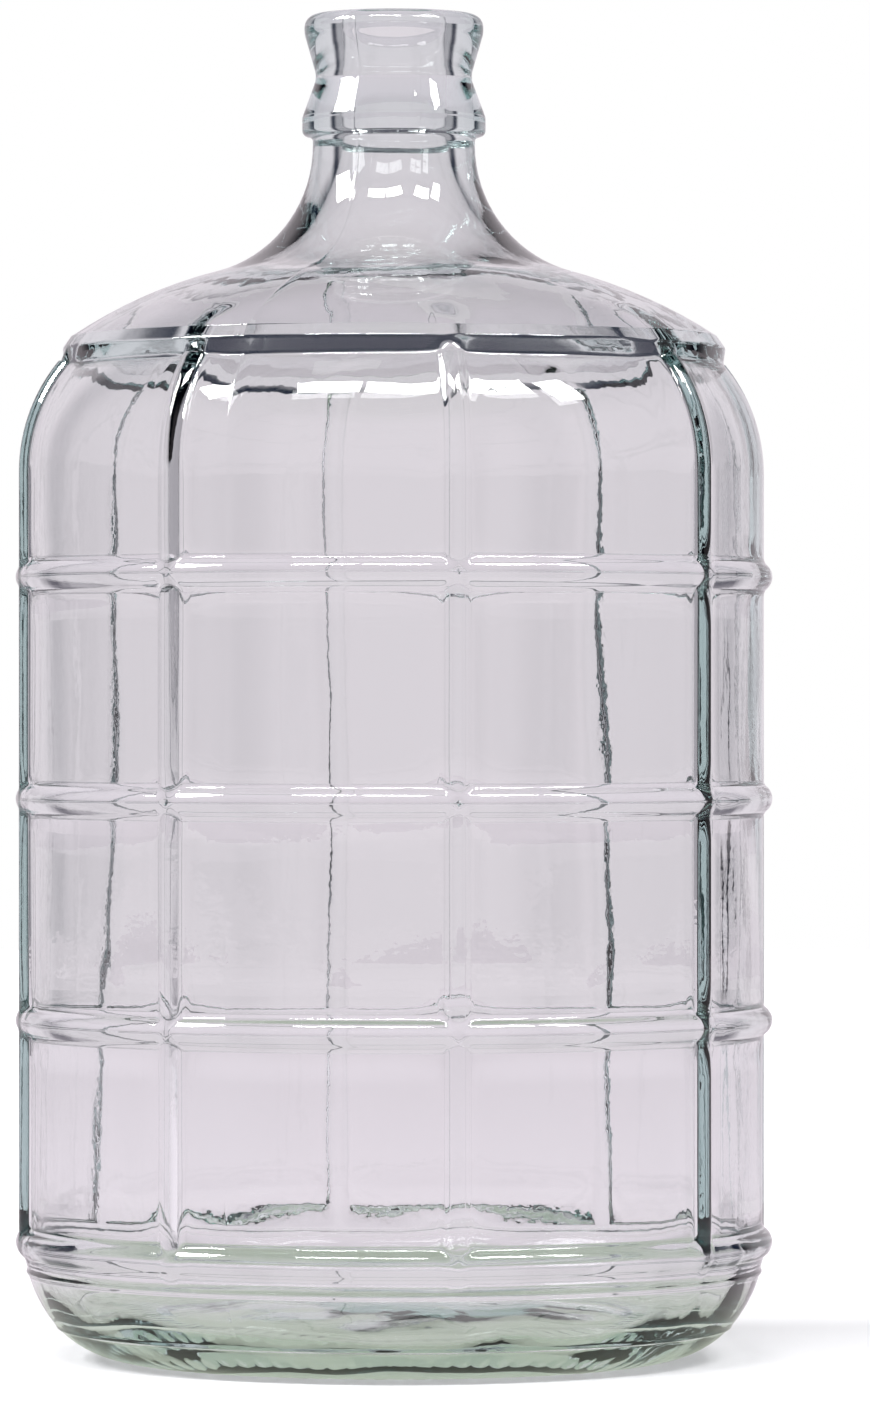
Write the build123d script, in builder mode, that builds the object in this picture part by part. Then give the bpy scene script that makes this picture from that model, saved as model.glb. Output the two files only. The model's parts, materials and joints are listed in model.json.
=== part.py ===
"""A three-gallon glass carboy: one piece of moulded clear glass for brewing and winemaking.

The wall is a round barrel with eight upright ribs and four hoops, which frame sunken panels.  Above
them a ledge carries the domed shoulder, which flares into the neck.  The neck ends in a collar ring,
a waist and a rounded lip, and its straight bore takes a rubber bung.  The base has a rounded heel, a
flat bearing ring with radial knurls, and a shallow push-up.  Millimetres, +Z up, with the origin at
the centre of the face that the carboy stands on, and the X and Y axes through the middles of panels.
"""

from build123d import *
from math import cos, radians, sin, sqrt
import os

# Driving dimensions
HEIGHT = 419.0
BODY_R = 118.0  # over the hoops
RIDGE_HEIGHT = 2.7  # of a hoop above the sunken panels
WALL = 4.6  # glass behind a panel
BORE_R = 16.5
BORE_LENGTH = 30.0

PANEL_R = BODY_R - RIDGE_HEIGHT
INNER_R = PANEL_R - WALL

# Ribs and hoops share one rounded section with flared feet
RIB_COUNT = 8
RIDGE_NOSE_R = 4.6
RIDGE_FOOT_R = 2.6
RIB_SETBACK = 0.3  # of a rib behind the hoops at its crest, and behind the panel at its feet
RIB_BURY = 2.0  # how far a rib's section runs into the wall
HOOP_COUNT = 4
HOOP_FIRST_Z = 36.4
HOOP_PITCH = 69.0

# Shoulder: the wall turns in, steps out to the ledge, and the dome closes over it
TURN_Z = 276.0
TURN_R = 51.2  # of a panel's upper curve, in the upright plane
TURN_ANGLE = 37.0
TURN_CENTRE_R = PANEL_R - TURN_R
RIB_END_ANGLE = 42.0
LEDGE_HEIGHT = 3.1
LEDGE_ANGLE = 40.5
LEDGE_TOP = (103.0, 315.6)
LEDGE_FOOT_R = 2.0
LEDGE_EDGE_R = 2.4
LEDGE_TOP_R = 3.2

# Neck, from the flare up
NECK_R = 25.3
NECK_Z = 378.2
FLARE_R = 41.0
FLARE_ANGLE = 75.0
COLLAR_R = 28.6
COLLAR_UNDER_Z = 380.4
COLLAR_DROP = 1.0  # how far the collar's underside rises towards its edge
COLLAR_TOP_Z = 386.8
COLLAR_UNDERCUT_R = 1.4
COLLAR_EDGE_R = 1.8
COLLAR_TOP_R = 4.0
WAIST_R = 24.0
WAIST_Z = 399.4
WAIST_CURVE_R = 7.0
LIP_R = 27.9
LIP_Z = 413.0
LIP_UNDER_R = 6.0
LIP_EDGE_R = 4.0
MOUTH_R = 19.4
MOUTH_DEPTH = 4.0
BORE_TOP_Z = HEIGHT - MOUTH_DEPTH

# Base
HEEL_TOP_R = 114.6
HEEL_TOP_Z = 28.4
HEEL_CREASE = (105.0, 10.0)
HEEL_SIDE_R = 44.0
HEEL_UNDER_R = 32.0
BEARING_OUTER_R = 83.5
BEARING_INNER_R = 74.0
PUSH_UP_RIM_R = 69.0
PUSH_UP_RIM_Z = 2.6
PUSH_UP_HEIGHT = 9.0
KNURL_COUNT = 88
KNURL_R = 1.5
KNURL_DEPTH = 0.5
KNURL_START_R = 75.5
KNURL_LENGTH = 12.0

# Inside
FLOOR_Z = 8.0
FLOOR_RISE_R = 72.0
FLOOR_CENTRE_Z = 16.5
INNER_HEEL_R = 28.0
INNER_TURN_ANGLE = 49.6
INNER_FLARE_R = 50.0
INNER_FLARE_ANGLE = 74.0


def hoop_heights():
    """The centre height of each hoop, from the lowest."""
    return [HOOP_FIRST_Z + i * HOOP_PITCH for i in range(HOOP_COUNT)]


def turn_point(radius, angle):
    """A point (r, z) on an arc about the centre of the shoulder's turn."""
    return (TURN_CENTRE_R + radius * cos(radians(angle)), TURN_Z + radius * sin(radians(angle)))


def ridge_half_width():
    """Half a ridge's width at the panel, before its feet flare."""
    nose_depth = RIDGE_NOSE_R - RIDGE_HEIGHT
    return sqrt(RIDGE_NOSE_R**2 - nose_depth**2)


def corner(sketch, point):
    """The sketch's corner nearest to a point in its plane."""
    return sketch.vertices().sort_by_distance(Vector(point))[0]


def shallow_dome(centre_z, rim_r, rim_z):
    """An arc from the axis out to a rim, level at the axis."""
    return TangentArc((0, centre_z), (rim_r, rim_z), tangent=(1, 0))


# One rib: it stands on the lowest hoop, runs straight up, and bends in to end under the ledge
with BuildPart() as rib:
    with BuildSketch(Plane.XY.offset(HOOP_FIRST_Z)) as rib_section:
        foot_x = PANEL_R - RIB_SETBACK
        half = ridge_half_width()
        side_y = half + RIDGE_FOOT_R
        with BuildLine():
            nose = ThreePointArc((foot_x, -half), (BODY_R - RIB_SETBACK, 0), (foot_x, half))
            Polyline(
                nose @ 1,
                (foot_x, side_y),
                (foot_x - RIB_BURY, side_y),
                (foot_x - RIB_BURY, -side_y),
                (foot_x, -side_y),
                nose @ 0,
            )
        make_face()
        feet = [corner(rib_section, nose @ 0), corner(rib_section, nose @ 1)]
        fillet(feet, RIDGE_FOOT_R)
    extrude(amount=TURN_Z - HOOP_FIRST_Z)
    bend_axis = Axis((TURN_CENTRE_R, 0, TURN_Z), (0, -1, 0))
    revolve(rib.faces().sort_by(Axis.Z)[-1], axis=bend_axis, revolution_arc=RIB_END_ANGLE)

# The bottle
with BuildPart() as glass_body:
    # The outline runs up from the axis to the mouth, with the hoops as bumps on the wall
    with BuildSketch(Plane.XZ) as outline:
        with BuildLine():
            push_up = shallow_dome(PUSH_UP_HEIGHT, PUSH_UP_RIM_R, PUSH_UP_RIM_Z)
            ring_inside = Line(push_up @ 1, (BEARING_INNER_R, 0))
            bearing = Line(ring_inside @ 1, (BEARING_OUTER_R, 0))
            heel_under = RadiusArc(bearing @ 1, HEEL_CREASE, -HEEL_UNDER_R)
            heel_side = RadiusArc(heel_under @ 1, (HEEL_TOP_R, HEEL_TOP_Z), -HEEL_SIDE_R)
            last = heel_side
            for height in hoop_heights():
                below = Line(last @ 1, (PANEL_R, height - ridge_half_width()))
                last = ThreePointArc(
                    below @ 1,
                    (BODY_R, height),
                    (PANEL_R, height + ridge_half_width()),
                )
            wall = Line(last @ 1, (PANEL_R, TURN_Z))
            turn = JernArc(wall @ 1, (0, 1), TURN_R, TURN_ANGLE)
            ledge_under = Line(turn @ 1, turn_point(TURN_R + LEDGE_HEIGHT, LEDGE_ANGLE))
            Line(ledge_under @ 1, LEDGE_TOP)
            flare = JernArc((NECK_R, NECK_Z), (0, -1), FLARE_R, FLARE_ANGLE)
            TangentArc(flare @ 1, LEDGE_TOP, tangent=flare % 1)
            neck_top = Line((NECK_R, NECK_Z), (NECK_R, COLLAR_UNDER_Z))
            collar_under = Line(neck_top @ 1, (COLLAR_R, COLLAR_UNDER_Z + COLLAR_DROP))
            collar_side = Line(collar_under @ 1, (COLLAR_R, COLLAR_TOP_Z))
            waist_low = Line(collar_side @ 1, (WAIST_R, WAIST_Z))
            lip_low = Line(waist_low @ 1, (LIP_R, LIP_Z))
            lip_side = Line(lip_low @ 1, (LIP_R, HEIGHT))
            mouth = Line(lip_side @ 1, (0, HEIGHT))
            Line(mouth @ 1, (0, PUSH_UP_HEIGHT))
        make_face()
        hoop_feet = [
            corner(outline, (PANEL_R, height + side * ridge_half_width()))
            for height in hoop_heights()
            for side in (-1, 1)
        ]
        fillet(hoop_feet, RIDGE_FOOT_R)
        rounded_corners = (
            (turn @ 1, LEDGE_FOOT_R),
            (ledge_under @ 1, LEDGE_EDGE_R),
            (LEDGE_TOP, LEDGE_TOP_R),
            (neck_top @ 1, COLLAR_UNDERCUT_R),
            (collar_under @ 1, COLLAR_EDGE_R),
            (collar_side @ 1, COLLAR_TOP_R),
            (waist_low @ 1, WAIST_CURVE_R),
            (lip_low @ 1, LIP_UNDER_R),
            (lip_side @ 1, LIP_EDGE_R),
        )
        for point, radius in rounded_corners:
            fillet(corner(outline, point), radius)
    revolve(axis=Axis.Z)

    with PolarLocations(0, RIB_COUNT, start_angle=180 / RIB_COUNT):
        add(rib.part)

    # The inside, from the floor up to the mouth
    with BuildSketch(Plane.XZ) as inside:
        with BuildLine():
            floor = shallow_dome(FLOOR_CENTRE_Z, FLOOR_RISE_R, FLOOR_Z)
            floor_edge = Line(floor @ 1, (INNER_R, FLOOR_Z))
            inner_wall = Line(floor_edge @ 1, (INNER_R, TURN_Z))
            inner_turn = JernArc(inner_wall @ 1, (0, 1), TURN_R - WALL, INNER_TURN_ANGLE)
            bore = Line((BORE_R, BORE_TOP_Z), (BORE_R, BORE_TOP_Z - BORE_LENGTH))
            inner_flare = JernArc(bore @ 1, (0, -1), INNER_FLARE_R, INNER_FLARE_ANGLE)
            TangentArc(inner_flare @ 1, inner_turn @ 1, tangent=inner_flare % 1)
            mouth_edge = TangentArc(bore @ 0, (MOUTH_R, HEIGHT), tangent=(0, 1))
            Polyline(mouth_edge @ 1, (MOUTH_R, HEIGHT + 1), (0, HEIGHT + 1), floor @ 0)
        make_face()
        fillet(corner(inside, floor_edge @ 1), INNER_HEEL_R)
    revolve(axis=Axis.Z, mode=Mode.SUBTRACT)

    # Radial knurls across the bearing ring and up the start of the heel
    with BuildSketch(Plane.YZ.offset(KNURL_START_R)) as knurl:
        with Locations((0, KNURL_DEPTH - KNURL_R)):
            Circle(KNURL_R)
    groove = extrude(knurl.sketch, amount=KNURL_LENGTH, mode=Mode.PRIVATE)
    with PolarLocations(0, KNURL_COUNT):
        add(groove, mode=Mode.SUBTRACT)

os.makedirs("parts", exist_ok=True)
glass_body.part.label = "glass_body"
export_step(glass_body.part, "parts/glass_body.step")
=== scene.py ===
"""The looks of the glass carboy: one high-resolution moulded glass mesh, its material, and a studio.

The glass is swept from one closed outline: up the outside from the middle of the base, over the lip, and
down the inside to the middle of the floor.  Each row of the sweep is then pushed out along its normal by
the ribs, hoops, mould seams and knurls, or by the slow waves of blown glass.  Metres, in the part's frame.
"""

import json
import math

import bpy
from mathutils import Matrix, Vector, noise


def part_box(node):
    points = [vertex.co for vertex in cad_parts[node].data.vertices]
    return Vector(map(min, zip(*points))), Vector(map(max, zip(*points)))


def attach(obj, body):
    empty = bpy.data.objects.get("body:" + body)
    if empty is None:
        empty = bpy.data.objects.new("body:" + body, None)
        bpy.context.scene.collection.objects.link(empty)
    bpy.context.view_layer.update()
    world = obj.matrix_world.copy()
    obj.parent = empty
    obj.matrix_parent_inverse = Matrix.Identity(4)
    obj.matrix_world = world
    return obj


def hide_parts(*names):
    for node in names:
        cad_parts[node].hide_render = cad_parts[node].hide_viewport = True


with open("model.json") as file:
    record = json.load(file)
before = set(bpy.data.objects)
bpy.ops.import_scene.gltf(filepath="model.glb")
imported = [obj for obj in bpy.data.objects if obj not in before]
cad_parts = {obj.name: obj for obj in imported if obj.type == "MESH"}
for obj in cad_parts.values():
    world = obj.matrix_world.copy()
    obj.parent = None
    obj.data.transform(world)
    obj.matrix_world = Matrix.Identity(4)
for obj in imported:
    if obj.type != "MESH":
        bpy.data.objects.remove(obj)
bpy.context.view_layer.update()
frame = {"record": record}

glass_low, glass_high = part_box("glass_body")

# Sizes from the frame's boxes and mounts
HEIGHT = glass_high[2] - glass_low[2]
BODY_R = (glass_high[0] - glass_low[0]) / 2
BORE = next(mount for mount in frame["record"]["mounts"] if mount["name"] == "mouth_bore")
BORE_R = BORE["dims"]["r_mm"] / 1000
BORE_TOP_Z = BORE["pos_m"][2] + BORE["dims"]["length_mm"] / 2000
BORE_LOW_Z = BORE_TOP_Z - BORE["dims"]["length_mm"] / 1000

# Wall, ribs and hoops
RIDGE_HEIGHT = 0.0027
HOOP_NOSE_R = 0.0049
HOOP_FOOT_R = 0.0030
RIB_HEIGHT = 0.0025
RIB_NOSE_R = 0.0048
RIB_FOOT_R = 0.0025
FOLLOW_DEPTH = 0.0016  # how far the inside is blown out behind a rib or hoop
FOLLOW_REACH = 0.009
WALL = 0.0046
PANEL_R = BODY_R - RIDGE_HEIGHT
INNER_R = PANEL_R - WALL
RIB_COUNT = 8
HOOP_COUNT = 4
HOOP_FIRST_Z = 0.0364
HOOP_PITCH = 0.069

# Shoulder and ledge; points are (radius, height)
TURN_Z = 0.276
TURN_R = 0.0512
TURN_ANGLE = 41.0
LEDGE_HEIGHT = 0.0048  # the most that it stands out from the shoulder's arc
LEDGE_EDGE = (0.1034, 0.3146)
LEDGE_TOP = (0.1008, 0.3183)
LEDGE_FOOT_R = 0.0025
LEDGE_EDGE_R = 0.002
LEDGE_TOP_R = 0.0008
TURN_CENTRE = (PANEL_R - TURN_R, TURN_Z)

# Neck, collar and lip
NECK_R = 0.0253
NECK_Z = 0.3782
FLARE_R = 0.041
FLARE_ANGLE = 75.0
MOUTH_R = 0.0194
NECK_CORNERS = (  # (radius, height, rounding) from the top of the flare to the top of the lip
    (NECK_R, NECK_Z, 0.0),
    (NECK_R, 0.3804, 0.0014),
    (0.0286, 0.3814, 0.0018),
    (0.0286, 0.3868, 0.0040),
    (0.0240, 0.3994, 0.0070),
    (0.0279, 0.4130, 0.0060),
    (0.0279, HEIGHT, 0.0040),
    (MOUTH_R, HEIGHT, 0.0),
)

# Base
PUSH_UP_Z = 0.009
PUSH_UP_RIM = (0.069, 0.0026)
BEARING_INNER_R = 0.074
BEARING_OUTER_R = 0.0835
HEEL_CREASE = (0.105, 0.010)
HEEL_UNDER_R = 0.032
HEEL_TOP = (0.1146, 0.0284)
HEEL_SIDE_R = 0.044

# Inside
FLOOR_CENTRE_Z = 0.0165
FLOOR_RIM = (0.072, 0.008)
INNER_HEEL_R = 0.028
INNER_HEEL_Z = FLOOR_RIM[1] + INNER_HEEL_R
INNER_TURN_ANGLE = 46.0
INNER_FLARE_R = 0.050
INNER_FLARE_ANGLE = 74.0

# Fine relief on the heel and the bearing ring
PARTING_Z = 0.0272
PARTING_HEIGHT = 0.00045
PARTING_HALF_WIDTH = 0.0012
CREASE_HEIGHT = 0.0003
CREASE_HALF_WIDTH = 0.0011
KNURL_TOP_Z = 0.004
KNURL_COUNT = 88
KNURL_HALF_WIDTH = 0.0012
KNURL_DEPTH = 0.0003
KNURL_START_R = 0.0755
KNURL_END_R = 0.0875

# Mould seams, and the slow waves of blown glass
SEAM_ANGLE = math.radians(-102.9)
SEAM_HEIGHT = 0.00018
SEAM_OFFSETS = (-0.0006, -0.0003, 0.0, 0.0003, 0.0006)
SEAM_FAINT = 0.3  # the seam's height below the neck, as a part of its height on the neck
SEAM_FADE = (0.338, 0.358)
HEEL_SEAM_FADE = (0.012, 0.016)
WAVE_HEIGHT = 0.0004
WAVE_STRETCH = 2.5
FLOOR_WAVE = 0.0008
LIP_FADE = 0.005
BORE_FADE = 0.01
RIDGE_FADE = 0.0012

# Mesh spacing
PANEL_STEP = 0.0062
INSIDE_STEP = 0.006
BORE_STEP = 0.008
BEARING_STEP = 0.003
ARC_STEP = math.radians(4.5)
CORNER_ARC_STEP = math.radians(9)
INNER_HEEL_ARC_STEP = math.radians(6)
TURN_ARC_STEP = math.radians(2.6)
DOME_ARC_STEP = math.radians(2.5)
BASE_ARC_STEP = math.radians(1.2)
HEEL_ARC_STEP = math.radians(0.8)
MIDDLE_EDGE = (0.072, 0.03)  # the radius and height within which the base needs only a few columns
NECK_COLUMNS_Z = 0.345
NECK_COLUMNS = 120
MIDDLE_COLUMNS = 96
COLUMNS_PER_KNURL = 6

# Studio
PANE_FILL = 0.92  # the part of each window pane that is not its frame
LAMP_AIM_Z = 0.25
FLOOR_RADIUS = 4.0
FLOOR_DROP = 0.0003
PAINTED_SHADE_REACH = (BODY_R * 0.8, BODY_R * 1.6)  # where the painted shade under the bottle fades out
WHITE_REACH = (0.35, 1.2)  # where the floor rises to the camera's full white
WHITE_LIFT = 3.6
SIDE_LEVEL = 0.5  # the room's brightness at the sides, against the wall beyond the bottle
BEHIND_LEVEL = 0.6

# The photograph's view
VIEW_AZIMUTH = 13.1  # of the camera about the bottle, from straight in front towards +X
VIEW_DISTANCE = 2.537
EYE_Z = 0.2082
FOCAL_RATIO = 8127 / 1418  # focal length over the picture's height
AXIS_OFFSET = 0.0289  # how far left of the picture's middle the bottle stands, in picture heights
HORIZON_OFFSET = 0.0134  # how far above the picture's middle eye level is


# ---------------------------------------------------------------- outlines, as lists of (radius, height)


def arc(centre, radius, start, end, step=ARC_STEP):
    """Points on a circle about centre, between two angles in degrees."""
    count = max(2, math.ceil(abs(math.radians(end - start)) / step))
    angles = [math.radians(start + (end - start) * i / count) for i in range(count + 1)]
    return [(centre[0] + radius * math.cos(a), centre[1] + radius * math.sin(a)) for a in angles]


def bulge(start, end, radius, step=ARC_STEP):
    """Points on the arc of a given radius from start to end, which turns left as it goes."""
    chord = Vector(end) - Vector(start)
    left = Vector((-chord.y, chord.x)).normalized()
    centre = (Vector(start) + Vector(end)) / 2 + left * math.sqrt(radius**2 - chord.length_squared / 4)
    first = math.degrees(math.atan2(start[1] - centre.y, start[0] - centre.x))
    last = math.degrees(math.atan2(end[1] - centre.y, end[0] - centre.x))
    return arc(centre, radius, first, last, step)


def tangent_arc(start, heading, end, step=ARC_STEP):
    """Points on the arc that leaves start along heading, in degrees, and passes through end."""
    chord = Vector(end) - Vector(start)
    across = Vector((-math.sin(math.radians(heading)), math.cos(math.radians(heading))))
    radius = chord.length_squared / (2 * chord.dot(across))
    centre = Vector(start) + across * radius
    first = math.degrees(math.atan2(start[1] - centre.y, start[0] - centre.x))
    last = math.degrees(math.atan2(end[1] - centre.y, end[0] - centre.x))
    last += 360 * round((first - last) / 360)
    return arc(centre, abs(radius), first, last, step)


def line(start, end, step=PANEL_STEP):
    """Evenly spaced points from start to end."""
    count = max(1, math.ceil((Vector(end) - Vector(start)).length / step))
    return [tuple(Vector(start).lerp(Vector(end), i / count)) for i in range(count + 1)]


def rounded(corners, step=CORNER_ARC_STEP, run=PANEL_STEP):
    """A path through corners, each (radius, height, rounding), with its corners rounded."""
    path = [corners[0][:2]]
    for before, here, after in zip(corners, corners[1:], corners[2:]):
        point = Vector(here[:2])
        back = (Vector(before[:2]) - point).normalized()
        ahead = (Vector(after[:2]) - point).normalized()
        half = back.angle(ahead) / 2
        if here[2] == 0:
            path += line(path[-1], point, run)[1:]
            continue
        enter = point + back * here[2] / math.tan(half)
        centre = point + (back + ahead).normalized() * here[2] / math.sin(half)
        leave = point + ahead * here[2] / math.tan(half)
        first = math.degrees(math.atan2(enter.y - centre.y, enter.x - centre.x))
        last = math.degrees(math.atan2(leave.y - centre.y, leave.x - centre.x))
        last += 360 * round((first - last) / 360)
        path += line(path[-1], enter, run)[1:]
        path += arc(centre, here[2], first, last, step)[1:]
    return path + line(path[-1], corners[-1][:2], run)[1:]


def soft_max(a, b, blend=0.0012):
    """The larger of two heights, with a small fillet where they cross."""
    gap = abs(a - b)
    if gap >= blend:
        return max(a, b)
    return max(a, b) + (blend - gap) ** 2 / (4 * blend)


class Ridge:
    """The section of a rib or hoop: a round nose between two concave feet."""

    def __init__(self, height, nose_r, foot_r):
        self.height, self.nose_r, self.foot_r = height, nose_r, foot_r
        self.foot_x = math.sqrt((nose_r + foot_r) ** 2 - (foot_r + nose_r - height) ** 2)
        self.nose_x = self.foot_x * nose_r / (nose_r + foot_r)

    def at(self, distance):
        """The section's height at a distance from its middle."""
        d = abs(distance)
        if d >= self.foot_x:
            return 0.0
        if d >= self.nose_x:
            return self.foot_r - math.sqrt(self.foot_r**2 - (self.foot_x - d) ** 2)
        return self.height - self.nose_r + math.sqrt(self.nose_r**2 - d**2)

    def offsets(self):
        """Distances from its middle where rows or columns of the mesh are set."""
        nose = [self.nose_x * part for part in (0, 0.26, 0.52, 0.76, 0.9, 1)]
        feet = [self.nose_x + (self.foot_x - self.nose_x) * part for part in (0.2, 0.55, 1)]
        half = nose + feet
        return [-d for d in reversed(half[1:])] + half


HOOP = Ridge(RIDGE_HEIGHT, HOOP_NOSE_R, HOOP_FOOT_R)
RIB = Ridge(RIB_HEIGHT, RIB_NOSE_R, RIB_FOOT_R)


def hoop_heights():
    """The heights of the hoops' middles."""
    return [HOOP_FIRST_Z + i * HOOP_PITCH for i in range(HOOP_COUNT)]


def join(*paths):
    """One path from several that meet end to end."""
    whole = list(paths[0])
    for path in paths[1:]:
        whole += [p for p in path if (Vector(p) - Vector(whole[-1])).length > 1e-6]
    return whole


def wall_path():
    """The outside from the top of the heel to the start of the shoulder, with rows at each hoop."""
    heights = [HEEL_TOP[1]]
    for hoop in hoop_heights():
        rows = [hoop + d for d in HOOP.offsets()]
        heights += [p[1] for p in line((0, heights[-1]), (0, rows[0]))][1:] + rows[1:]
    heights += [p[1] for p in line((0, heights[-1]), (0, TURN_Z))][1:]
    return [(PANEL_R, z) for z in heights[1:]]


def outside_path():
    """The outside, from the middle of the push-up to the top of the lip."""
    rise = PUSH_UP_Z - PUSH_UP_RIM[1]
    push_up_r = (PUSH_UP_RIM[0] ** 2 + rise**2) / (2 * rise)
    rim_angle = math.degrees(math.asin(PUSH_UP_RIM[0] / push_up_r))
    push_up = arc((0, PUSH_UP_Z - push_up_r), push_up_r, 90, 90 - rim_angle, BASE_ARC_STEP)
    bearing = rounded(
        [
            (*push_up[-2], 0.0),
            (*PUSH_UP_RIM, 0.0020),
            (BEARING_INNER_R, 0.0, 0.0020),
            (BEARING_OUTER_R, 0.0, 0.0),
        ],
        run=BEARING_STEP,
    )
    heel_under = bulge((BEARING_OUTER_R, 0.0), HEEL_CREASE, HEEL_UNDER_R)
    last = Vector(heel_under[-2])
    heel_under[-1:] = [tuple(last.lerp(Vector(HEEL_CREASE), part)) for part in (0.5, 0.76, 0.9, 1)]
    heel_side = bulge(HEEL_CREASE, HEEL_TOP, HEEL_SIDE_R, HEEL_ARC_STEP)
    heel_side[1:1] = [tuple(Vector(HEEL_CREASE).lerp(Vector(heel_side[1]), 0.3))]
    turn = arc(TURN_CENTRE, TURN_R, 0, TURN_ANGLE, TURN_ARC_STEP)
    flare_centre = (NECK_R + FLARE_R, NECK_Z)
    flare = arc(flare_centre, FLARE_R, 180 + FLARE_ANGLE, 180)
    dome = list(reversed(tangent_arc(flare[0], -(90 - FLARE_ANGLE), LEDGE_TOP, DOME_ARC_STEP)))
    ledge = rounded(
        [
            (*turn[-2], 0.0),
            (*turn[-1], LEDGE_FOOT_R),
            (*LEDGE_EDGE, LEDGE_EDGE_R),
            (*LEDGE_TOP, LEDGE_TOP_R),
            (*dome[1], 0.0),
        ]
    )
    neck = rounded(NECK_CORNERS)
    return join(
        push_up[:-1],
        bearing[1:],
        heel_under,
        heel_side,
        wall_path(),
        turn[:-1],
        ledge[1:],
        dome[2:],
        flare[1:],
        neck[1:],
    )


def inside_path():
    """The inside, from the top of the lip to the middle of the floor."""
    mouth = list(reversed(tangent_arc((BORE_R, BORE_TOP_Z), 90, (MOUTH_R, HEIGHT), CORNER_ARC_STEP)))
    bore = line((BORE_R, BORE_TOP_Z), (BORE_R, BORE_LOW_Z), BORE_STEP)
    flare_centre = (BORE_R + INNER_FLARE_R, BORE_LOW_Z)
    flare = arc(flare_centre, INNER_FLARE_R, 180, 180 + INNER_FLARE_ANGLE)
    turn = arc(TURN_CENTRE, TURN_R - WALL, INNER_TURN_ANGLE, 0)
    dome = tangent_arc(flare[-1], -(90 - INNER_FLARE_ANGLE), turn[0], DOME_ARC_STEP)
    wall = line((INNER_R, TURN_Z), (INNER_R, INNER_HEEL_Z), INSIDE_STEP)
    heel = arc((INNER_R - INNER_HEEL_R, INNER_HEEL_Z), INNER_HEEL_R, 0, -90, INNER_HEEL_ARC_STEP)
    rise = FLOOR_CENTRE_Z - FLOOR_RIM[1]
    floor_r = (FLOOR_RIM[0] ** 2 + rise**2) / (2 * rise)
    rim_angle = math.degrees(math.asin(FLOOR_RIM[0] / floor_r))
    bottom = arc((0, FLOOR_CENTRE_Z - floor_r), floor_r, 90 - rim_angle, 90, BASE_ARC_STEP)
    level = line(heel[-1], bottom[0], INSIDE_STEP)
    return join(mouth, bore, flare, dome, turn, wall, heel, level, bottom)


# ---------------------------------------------------------------- the glass


def smooth(x):
    """A smooth step from 0 to 1."""
    x = min(max(x, 0.0), 1.0)
    return x * x * (3 - 2 * x)


def fade_in(x, span):
    """0 up to the start of a span, rising smoothly to 1 at its end."""
    return smooth((x - span[0]) / (span[1] - span[0]))


def bump(distance, reach):
    """1 at no distance, falling smoothly to 0 at reach."""
    return smooth(1 - abs(distance) / reach)


def rib_angles():
    """The angles of the ribs' middles, in radians."""
    return [(i + 0.5) * 2 * math.pi / RIB_COUNT for i in range(RIB_COUNT)]


def across_to_rib(radius, angle):
    """The distance round the wall from the nearest rib's middle."""
    pitch = 2 * math.pi / RIB_COUNT
    return radius * math.remainder(angle - pitch / 2, pitch)


def across_to_seam(radius, angle):
    """The distance round the wall from the nearer of the two mould seams."""
    return radius * math.remainder(angle - SEAM_ANGLE, math.pi)


def even_columns(count):
    """Evenly spaced angles all the way round."""
    return [2 * math.pi * i / count for i in range(count)]


def with_seams(columns, radius):
    """Columns with a few more set close together across the two mould seams."""
    fine = [SEAM_ANGLE + half * math.pi + d / radius for half in (0, 1) for d in SEAM_OFFSETS]
    apart = 1.2 * SEAM_OFFSETS[-1] / radius
    kept = [a for a in columns if abs(math.remainder(a - SEAM_ANGLE, math.pi)) > apart]
    return sorted(a % (2 * math.pi) for a in kept + fine)


def wall_columns():
    """Columns close together on each rib and at the seams, and evenly spread across each panel."""
    pitch = 2 * math.pi / RIB_COUNT
    offsets = [d / PANEL_R for d in RIB.offsets()]
    angles = []
    for middle in rib_angles():
        angles += [middle + a for a in offsets]
        gap = pitch - 2 * offsets[-1]
        count = round(gap * PANEL_R / PANEL_STEP)
        angles += [middle + offsets[-1] + gap * i / count for i in range(1, count)]
    return with_seams(angles, PANEL_R)


def waves(radius, z, angle, seed, length):
    """Slow waves in a blown surface, longer up the bottle than round it, from -1 to 1."""
    place = Vector((radius * math.cos(angle), radius * math.sin(angle), z / WAVE_STRETCH)) / length
    return noise.noise(place + Vector((seed, 0, 0)))


def outside_height(radius, z, angle):
    """How far the ribs, hoops, ledge, seams and waves stand out from the plain outline."""
    clear = SEAM_FAINT + (1 - SEAM_FAINT) * fade_in(z, SEAM_FADE)
    seam = SEAM_HEIGHT * clear * bump(across_to_seam(radius, angle), SEAM_OFFSETS[-1])
    if z < HEEL_TOP[1]:
        return seam * fade_in(z, HEEL_SEAM_FADE) + heel_height(radius, z, angle)
    if z > LEDGE_TOP[1]:
        below_lip = smooth((HEIGHT - z) / LIP_FADE)  # the lip's top is pressed flat
        return below_lip * (seam + WAVE_HEIGHT * 0.5 * waves(radius, z, angle, 5.0, 0.03))
    hoop = max(HOOP.at(z - h) for h in hoop_heights())
    if z > TURN_Z:
        hoop = max(0.0, math.hypot(radius - TURN_CENTRE[0], z - TURN_CENTRE[1]) - TURN_R)
    below = max(0.0, HOOP_FIRST_Z - z)
    rib = RIB.at(math.hypot(across_to_rib(radius, angle), below))
    top = RIDGE_HEIGHT if z <= TURN_Z else LEDGE_HEIGHT
    whole = min(soft_max(rib, hoop), top) if rib > 0 else hoop
    raised = whole if z <= TURN_Z else max(0.0, whole - hoop)
    plain = 1 - smooth(whole / RIDGE_FADE)
    sag = WAVE_HEIGHT * plain * (waves(radius, z, angle, 2.0, 0.06) - 0.5)
    return raised + (seam if raised < 0.0005 else 0.0) + sag


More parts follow.
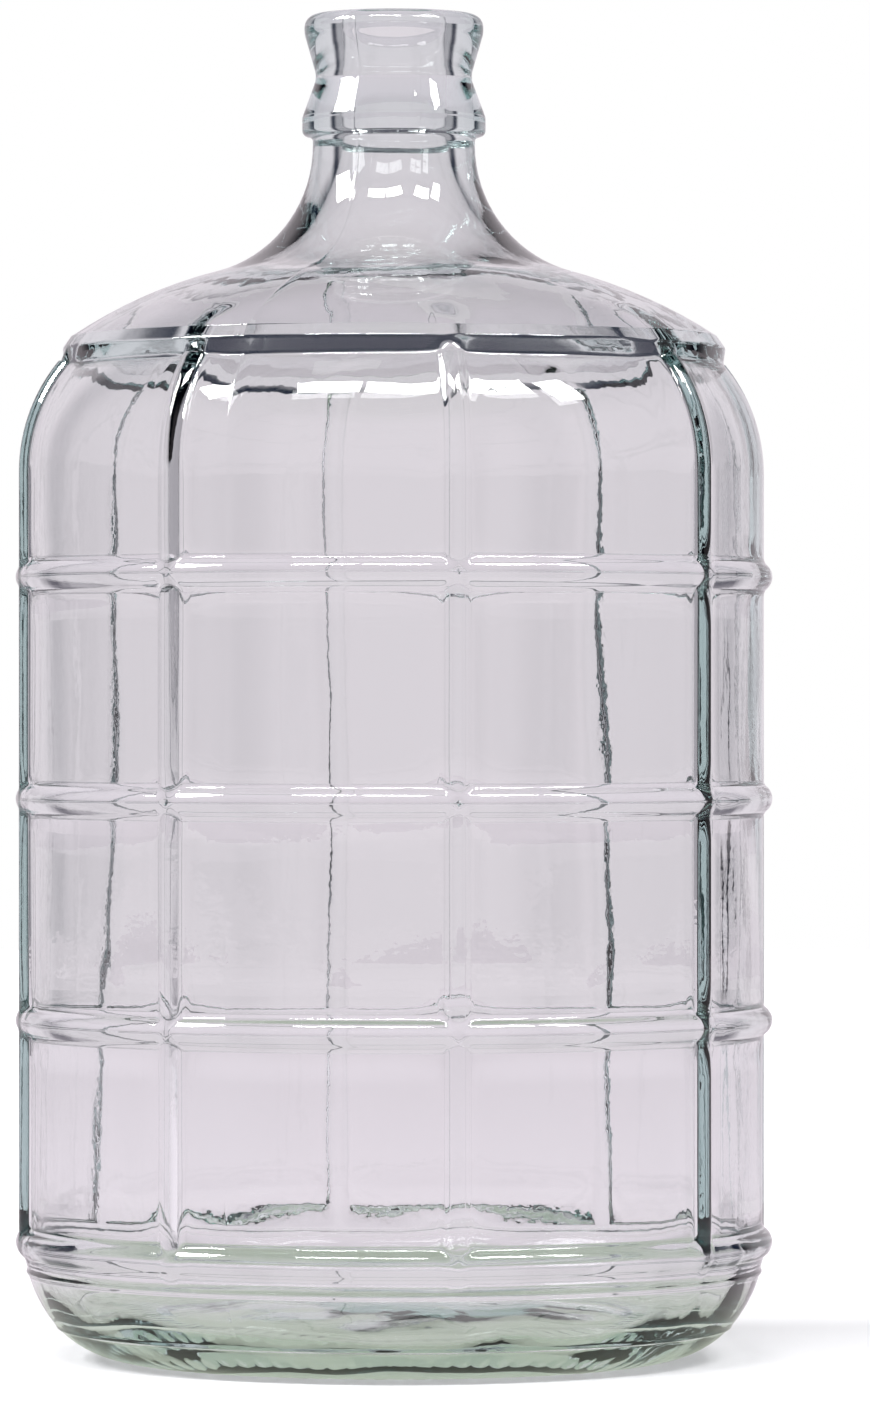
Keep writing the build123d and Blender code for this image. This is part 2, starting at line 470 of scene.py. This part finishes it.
def heel_height(radius, z, angle):
    """The parting ridge and the crease's edge round the heel, and the knurls across the bearing ring."""
    parting = PARTING_HEIGHT * bump(z - PARTING_Z, PARTING_HALF_WIDTH)
    from_crease = math.hypot(radius - HEEL_CREASE[0], z - HEEL_CREASE[1])
    crease = CREASE_HEIGHT * bump(from_crease, CREASE_HALF_WIDTH)
    if z > KNURL_TOP_Z or radius < KNURL_START_R or radius > KNURL_END_R:
        return parting + crease
    ends = bump(radius - (KNURL_START_R + KNURL_END_R) / 2, (KNURL_END_R - KNURL_START_R) / 2)
    across = radius * math.remainder(angle, 2 * math.pi / KNURL_COUNT)
    groove = max(0.0, 1 - (across / KNURL_HALF_WIDTH) ** 2)
    return -KNURL_DEPTH * min(1.0, 2.5 * ends) * groove


def inside_height(radius, z, angle):
    """How far the inside stands into the hollow: slowly wavy, and blown out behind ribs and hoops."""
    if z > LEDGE_TOP[1]:
        return WAVE_HEIGHT * waves(radius, z, angle, 9.0, 0.025) * smooth((BORE_LOW_Z - z) / BORE_FADE)
    wavy = WAVE_HEIGHT * (waves(radius, z, angle, 0.0, 0.05) + 0.5 * waves(radius, z, angle, 7.0, 0.022))
    if z < INNER_HEEL_Z:
        return wavy + FLOOR_WAVE * waves(radius, z, angle, 3.0, 0.018)
    rib = bump(across_to_rib(radius, angle), FOLLOW_REACH)
    hoop = max(bump(z - h, FOLLOW_REACH) for h in hoop_heights())
    return wavy - FOLLOW_DEPTH * max(rib, hoop)


def normals(path):
    """The outward normal at each point of a path that has the glass on its left."""
    found = []
    for i in range(len(path)):
        before = Vector(path[max(i - 1, 0)])
        after = Vector(path[min(i + 1, len(path) - 1)])
        along = (after - before).normalized()
        found.append((along.y, -along.x))
    return found


def stitch(low, high):
    """Faces between two rings of (angle, vertex), each sorted by angle, whatever their counts."""
    if [a for a, _ in low] == [a for a, _ in high]:
        n = len(low)
        return [(low[j][1], low[(j + 1) % n][1], high[(j + 1) % n][1], high[j][1]) for j in range(n)]
    low = low + [(low[0][0] + 2 * math.pi, low[0][1])]
    high = high + [(high[0][0] + 2 * math.pi, high[0][1])]
    i = j = 0
    faces = []
    while i < len(low) - 1 or j < len(high) - 1:
        if j == len(high) - 1 or (i < len(low) - 1 and low[i + 1][0] <= high[j + 1][0]):
            faces.append((low[i][1], low[i + 1][1], high[j][1]))
            i += 1
        else:
            faces.append((low[i][1], high[j + 1][1], high[j][1]))
            j += 1
    return faces


def glass_mesh(name):
    """The bottle's closed surface, stitched from rings of points along the whole outline."""
    outside = outside_path()
    path = join(outside, inside_path())
    path_normals = normals(path)
    wall = wall_columns()
    neck = with_seams(even_columns(NECK_COLUMNS), NECK_R)
    middle = even_columns(MIDDLE_COLUMNS)
    knurled = even_columns(KNURL_COUNT * COLUMNS_PER_KNURL)
    points = [(0, 0, path[0][1]), (0, 0, path[-1][1])]
    rings = []
    for i in range(1, len(path) - 1):
        radius, z = path[i]
        out_r, out_z = path_normals[i]
        is_outside = i < len(outside)
        columns = wall
        if radius < MIDDLE_EDGE[0] and z < MIDDLE_EDGE[1]:
            columns = middle
        elif is_outside and z < KNURL_TOP_Z:
            columns = knurled
        elif z > NECK_COLUMNS_Z:
            columns = neck
        ring = []
        for angle in columns:
            push = outside_height(radius, z, angle) if is_outside else inside_height(radius, z, angle)
            r = radius + out_r * push
            ring.append((angle, len(points)))
            points.append((r * math.cos(angle), r * math.sin(angle), z + out_z * push))
        rings.append(ring)
    faces = []
    for low, high in zip(rings, rings[1:]):
        faces += stitch(low, high)
    first, last = [v for _, v in rings[0]], [v for _, v in rings[-1]]
    faces += [(0, first[j], first[j - 1]) for j in range(len(first))]
    faces += [(1, last[j - 1], last[j]) for j in range(len(last))]
    mesh = bpy.data.meshes.new(name)
    mesh.from_pydata(points, [], faces)
    mesh.validate()
    mesh.shade_smooth()
    piece = bpy.data.objects.new(name, mesh)
    bpy.context.scene.collection.objects.link(piece)
    return piece


def glass_material():
    """Clear, faintly blue-green glass with fine ripples and a slightly uneven skin."""
    material = bpy.data.materials.new("clear_glass")
    material.use_nodes = True
    nodes, links = material.node_tree.nodes, material.node_tree.links
    shader = nodes["Principled BSDF"]
    shader.inputs["Base Color"].default_value = (0.985, 0.985, 0.985, 1)
    shader.inputs["Roughness"].default_value = 0.0
    shader.inputs["IOR"].default_value = 1.52
    shader.inputs["Transmission Weight"].default_value = 1.0
    place = nodes.new("ShaderNodeTexCoord").outputs["Object"]
    stretch = nodes.new("ShaderNodeMapping")
    stretch.inputs["Scale"].default_value = (1, 1, 0.35)  # ripples run up the bottle
    links.new(place, stretch.inputs["Vector"])
    ripples = nodes.new("ShaderNodeTexNoise")
    ripples.inputs["Scale"].default_value = 90
    ripples.inputs["Detail"].default_value = 1.5
    links.new(stretch.outputs["Vector"], ripples.inputs["Vector"])
    skin = nodes.new("ShaderNodeTexNoise")
    skin.inputs["Scale"].default_value = 420
    skin.inputs["Detail"].default_value = 1.0
    links.new(place, skin.inputs["Vector"])
    relief = None
    for noise_node, depth in ((ripples, 0.00007), (skin, 0.000006)):
        step = nodes.new("ShaderNodeBump")
        step.inputs["Distance"].default_value = depth
        links.new(noise_node.outputs["Fac"], step.inputs["Height"])
        if relief:
            links.new(relief.outputs["Normal"], step.inputs["Normal"])
        relief = step
    links.new(relief.outputs["Normal"], shader.inputs["Normal"])
    volume = nodes.new("ShaderNodeVolumeAbsorption")
    volume.inputs["Color"].default_value = (0.50, 0.70, 0.68, 1)
    volume.inputs["Density"].default_value = 15.0
    links.new(volume.outputs["Volume"], nodes["Material Output"].inputs["Volume"])
    return material


glass = glass_mesh("moulded_glass")
glass.data.materials.append(glass_material())
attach(glass, "root")
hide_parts("glass_body")


# ---------------------------------------------------------------- studio


def floor():
    """A round sheet that takes soft shadows.

    The camera sees it white.  Seen through the glass it is pale lavender, with painted shade under the
    bottle that makes it greyer green there.
    """
    mesh = bpy.data.meshes.new("floor")
    corners = [(FLOOR_RADIUS * math.cos(a), FLOOR_RADIUS * math.sin(a), 0) for a in even_columns(64)]
    mesh.from_pydata(corners, [], [tuple(range(len(corners)))])
    piece = bpy.data.objects.new("floor", mesh)
    piece.location.z = -FLOOR_DROP
    bpy.context.scene.collection.objects.link(piece)
    material = bpy.data.materials.new("pale_floor")
    material.use_nodes = True
    nodes, links = material.node_tree.nodes, material.node_tree.links
    shader = nodes["Principled BSDF"]
    shader.inputs["Roughness"].default_value = 0.8
    shader.inputs["Specular IOR Level"].default_value = 0.2
    to_camera = nodes.new("ShaderNodeLightPath").outputs["Is Camera Ray"]
    reach = nodes.new("ShaderNodeVectorMath")
    reach.operation = "LENGTH"
    links.new(nodes.new("ShaderNodeTexCoord").outputs["Object"], reach.inputs[0])
    # Painted shade: seen through the glass, the floor's glow is darker and greener under the bottle, fading
    # to the plain floor beyond it.
    under = nodes.new("ShaderNodeMapRange")
    under.interpolation_type = "SMOOTHSTEP"
    under.inputs["From Min"].default_value = PAINTED_SHADE_REACH[0]
    under.inputs["From Max"].default_value = PAINTED_SHADE_REACH[1]
    links.new(reach.outputs["Value"], under.inputs["Value"])
    painted_shade_mix = nodes.new("ShaderNodeMix")
    painted_shade_mix.data_type = "RGBA"
    painted_shade_mix.inputs["A"].default_value = (0.44, 0.49, 0.40, 1)  # painted shade under the bottle, darker and greener as if shadowed and tinted by the glass
    painted_shade_mix.inputs["B"].default_value = (0.66, 0.60, 0.65, 1)  # beyond it
    links.new(under.outputs["Result"], painted_shade_mix.inputs["Factor"])
    for name, seen in (("Base Color", (0.60, 0.60, 0.61, 1)), ("Emission Color", (0.27, 0.27, 0.27, 1))):
        mix = nodes.new("ShaderNodeMix")
        mix.data_type = "RGBA"
        mix.inputs["A"].default_value = (0.10, 0.09, 0.10, 1)
        if name == "Emission Color":
            links.new(painted_shade_mix.outputs["Result"], mix.inputs["A"])
        mix.inputs["B"].default_value = seen
        links.new(to_camera, mix.inputs["Factor"])
        links.new(mix.outputs["Result"], shader.inputs[name])
    rise = nodes.new("ShaderNodeMapRange")
    rise.interpolation_type = "SMOOTHSTEP"
    rise.inputs["From Min"].default_value = WHITE_REACH[0]
    rise.inputs["From Max"].default_value = WHITE_REACH[1]
    rise.inputs["To Min"].default_value = 1.0
    rise.inputs["To Max"].default_value = WHITE_LIFT
    links.new(reach.outputs["Value"], rise.inputs["Value"])
    lift = nodes.new("ShaderNodeMath")
    lift.operation = "POWER"
    links.new(rise.outputs["Result"], lift.inputs[0])
    links.new(to_camera, lift.inputs[1])
    links.new(lift.outputs[0], shader.inputs["Emission Strength"])
    mesh.materials.append(material)


def soft_box(name, azimuth, elevation, size, power, panes=(1, 1), distance=2.2):
    """A window-shaped lamp aimed at the bottle.  Its azimuth is from behind the camera, towards +X."""
    a, e = math.radians(VIEW_AZIMUTH + azimuth), math.radians(elevation)
    away = Vector((math.sin(a) * math.cos(e), -math.cos(a) * math.cos(e), math.sin(e)))
    turn = away.to_track_quat("Z", "Y")
    across, along = panes
    for i in range(across):
        for j in range(along):
            light = bpy.data.lights.new(name, "AREA")
            light.shape = "RECTANGLE"
            light.size = size[0] / across * PANE_FILL
            light.size_y = size[1] / along * PANE_FILL
            light.energy = power / (across * along)
            lamp = bpy.data.objects.new(name, light)
            middle = Vector((size[0] * ((i + 0.5) / across - 0.5), size[1] * ((j + 0.5) / along - 0.5), 0))
            lamp.location = Vector((0, 0, LAMP_AIM_Z)) + away * distance + turn @ middle
            lamp.rotation_euler = turn.to_euler()
            bpy.context.scene.collection.objects.link(lamp)


def surroundings():
    """White to the camera; through the glass, a pale wall beyond the bottle in a dimmer room."""
    world = bpy.data.worlds.new("studio")
    bpy.context.scene.world = world
    world.use_nodes = True
    nodes, links = world.node_tree.nodes, world.node_tree.links
    background = nodes["Background"]

    def math_node(operation, *values):
        """The output of a Math node whose inputs are numbers or other nodes' outputs."""
        node = nodes.new("ShaderNodeMath")
        node.operation = operation
        for socket, value in zip(node.inputs, values):
            if isinstance(value, (int, float)):
                socket.default_value = value
            else:
                links.new(value, socket)
        return node.outputs[0]

    def fade(value, start, end):
        """0 where value is at start, rising smoothly to 1 where it is at end."""
        node = nodes.new("ShaderNodeMapRange")
        node.interpolation_type = "SMOOTHSTEP"
        node.inputs["From Min"].default_value = start
        node.inputs["From Max"].default_value = end
        links.new(value, node.inputs["Value"])
        return node.outputs["Result"]

    direction = nodes.new("ShaderNodeSeparateXYZ")
    links.new(nodes.new("ShaderNodeTexCoord").outputs["Generated"], direction.inputs[0])
    # away is the angle round from the wall beyond the bottle, 0 to 180 degrees
    azimuth = math_node("ARCTAN2", direction.outputs["Y"], direction.outputs["X"])
    turned = math_node("SUBTRACT", azimuth, math.radians(90 + VIEW_AZIMUTH))
    away = math_node("ABSOLUTE", math_node("WRAP", turned, math.pi, -math.pi))
    wall = fade(away, math.radians(50), math.radians(38))
    to_side = math_node("ABSOLUTE", math_node("SUBTRACT", away, math.pi / 2))
    side = math_node("MULTIPLY", fade(to_side, math.radians(38), math.radians(28)), SIDE_LEVEL)
    behind = math_node("MULTIPLY", fade(away, math.radians(132), math.radians(146)), BEHIND_LEVEL)
    bright = math_node("MAXIMUM", wall, math_node("MAXIMUM", side, behind))
    below_ceiling = fade(direction.outputs["Z"], math.sin(math.radians(42)), math.sin(math.radians(28)))
    bright = math_node("MULTIPLY", bright, below_ceiling)
    mix = nodes.new("ShaderNodeMix")
    mix.data_type = "RGBA"
    mix.inputs["A"].default_value = (0.014, 0.020, 0.042, 1)
    mix.inputs["B"].default_value = (0.80, 0.74, 0.79, 1)
    links.new(bright, mix.inputs["Factor"])
    to_camera = nodes.new("ShaderNodeMix")
    to_camera.data_type = "RGBA"
    to_camera.inputs["B"].default_value = (1, 1, 1, 1)
    links.new(nodes.new("ShaderNodeLightPath").outputs["Is Camera Ray"], to_camera.inputs["Factor"])
    links.new(mix.outputs["Result"], to_camera.inputs["A"])
    links.new(to_camera.outputs["Result"], background.inputs["Color"])


def camera():
    """The photograph's view, level and at the height of the bottle's middle, with a long lens."""
    data = bpy.data.cameras.new("camera")
    data.sensor_width = 36
    data.lens = 36 * FOCAL_RATIO
    data.shift_x = AXIS_OFFSET
    data.shift_y = -HORIZON_OFFSET
    data.clip_end = 50
    eye = bpy.data.objects.new("camera", data)
    a = math.radians(VIEW_AZIMUTH)
    eye.location = (VIEW_DISTANCE * math.sin(a), -VIEW_DISTANCE * math.cos(a), EYE_Z)
    eye.rotation_euler = (math.pi / 2, 0, a)
    bpy.context.scene.collection.objects.link(eye)
    bpy.context.scene.camera = eye


floor()
surroundings()
soft_box("window_front", -14, 53, (1.35, 0.32), 48, (2, 1))
soft_box("window_right", 44, 50, (0.6, 0.36), 26, (2, 2))
soft_box("window_side", 66, 45, (0.35, 0.5), 16, (1, 2))
soft_box("key", -78, 38, (0.8, 0.8), 60)
camera()

scene = bpy.context.scene
scene.view_settings.view_transform = "Standard"
scene.cycles.max_bounces = 40
scene.cycles.transmission_bounces = 40
scene.cycles.glossy_bounces = 12
scene.cycles.diffuse_bounces = 3
scene.cycles.sample_clamp_indirect = 6
